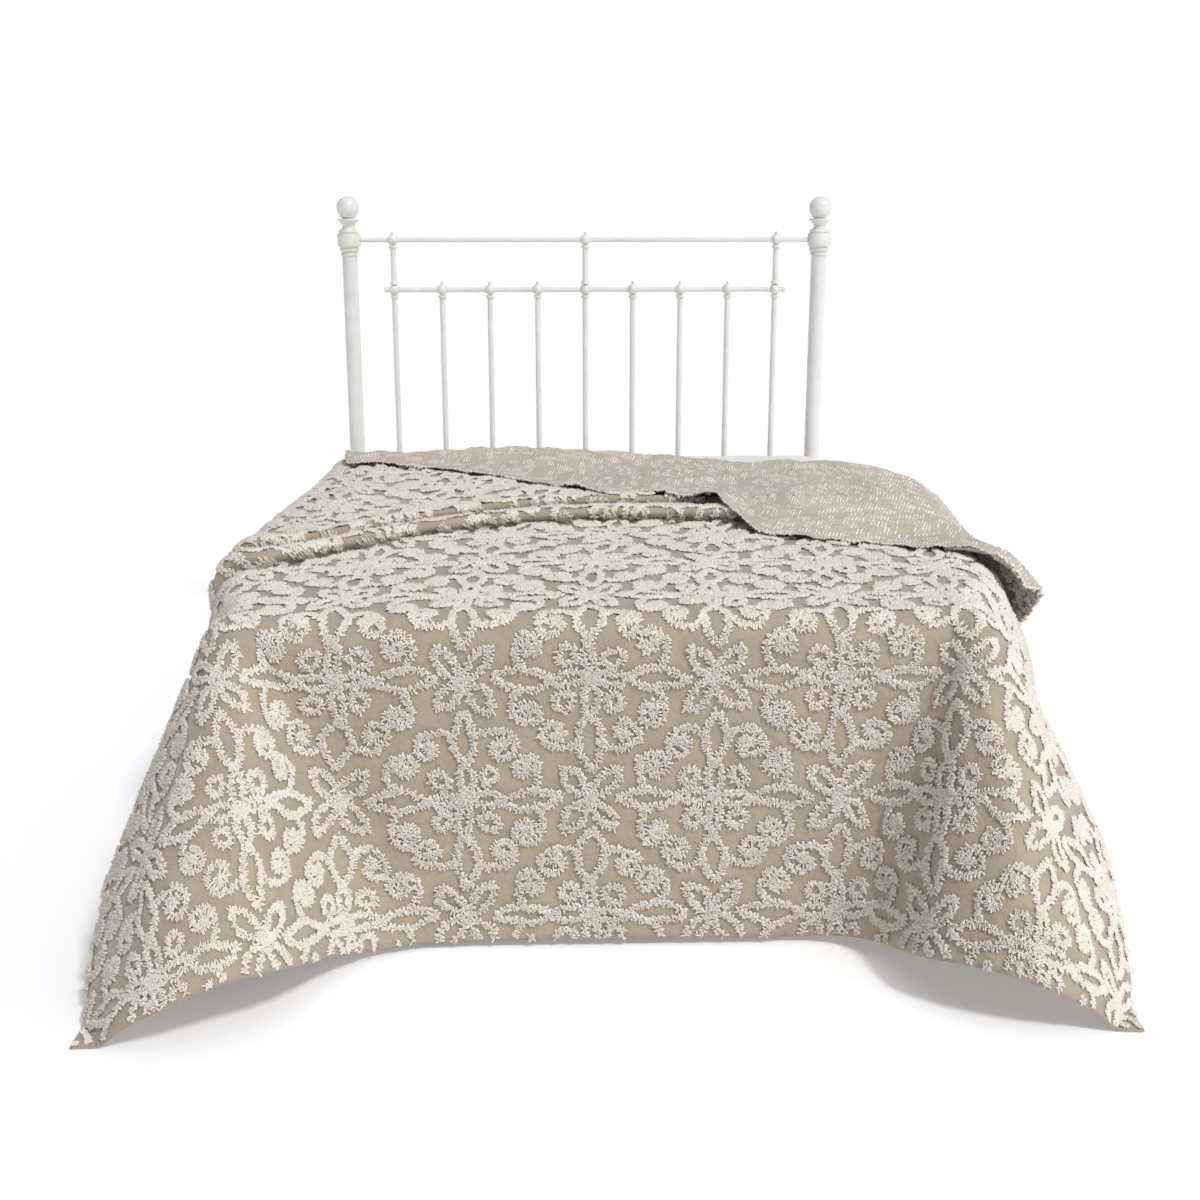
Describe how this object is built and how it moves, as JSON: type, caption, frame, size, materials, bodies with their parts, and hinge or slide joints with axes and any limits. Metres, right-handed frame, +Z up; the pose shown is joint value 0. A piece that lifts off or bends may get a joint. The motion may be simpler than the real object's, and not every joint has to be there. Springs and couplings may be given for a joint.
{
  "type": "chenille bedspread on a bed",
  "caption": "Tufted chenille bedspread draped over a plain bed, its foot corners flared onto the floor and one head corner turned down to show the reverse.",
  "frame": {"origin": "centre of the bounding box at floor level", "axes": "+Z up, -Y towards the foot of the bed, +Y towards the headboard, X across the bed"},
  "size_m": [2.0962, 2.5222, 1.5105],
  "materials": {
    "tufted_cotton": "matte woven cotton with raised cream tufting",
    "white_cotton": "matte plain cotton",
    "painted_metal": "satin off-white paint",
    "plain_wood": "sanded, unfinished"
  },
  "bodies": {
    "root": {"bedspread": "tufted_cotton", "mattress": "white_cotton", "foundation": "white_cotton", "post_left": "painted_metal", "post_right": "painted_metal", "top_rail": "painted_metal", "mid_rail": "painted_metal", "low_rail": "painted_metal", "upper_spindle_1": "painted_metal", "upper_spindle_2": "painted_metal", "upper_spindle_3": "painted_metal", "lower_spindle_1": "painted_metal", "lower_spindle_2": "painted_metal", "lower_spindle_3": "painted_metal", "lower_spindle_4": "painted_metal", "lower_spindle_5": "painted_metal", "lower_spindle_6": "painted_metal", "lower_spindle_7": "painted_metal", "lower_spindle_8": "painted_metal", "lower_spindle_9": "painted_metal", "side_rail_left": "painted_metal", "side_rail_right": "painted_metal", "foot_leg_left": "painted_metal", "foot_leg_right": "painted_metal", "foot_rail": "painted_metal", "slat_1": "plain_wood", "slat_2": "plain_wood", "slat_3": "plain_wood", "slat_4": "plain_wood"}
  },
  "joints": []
}
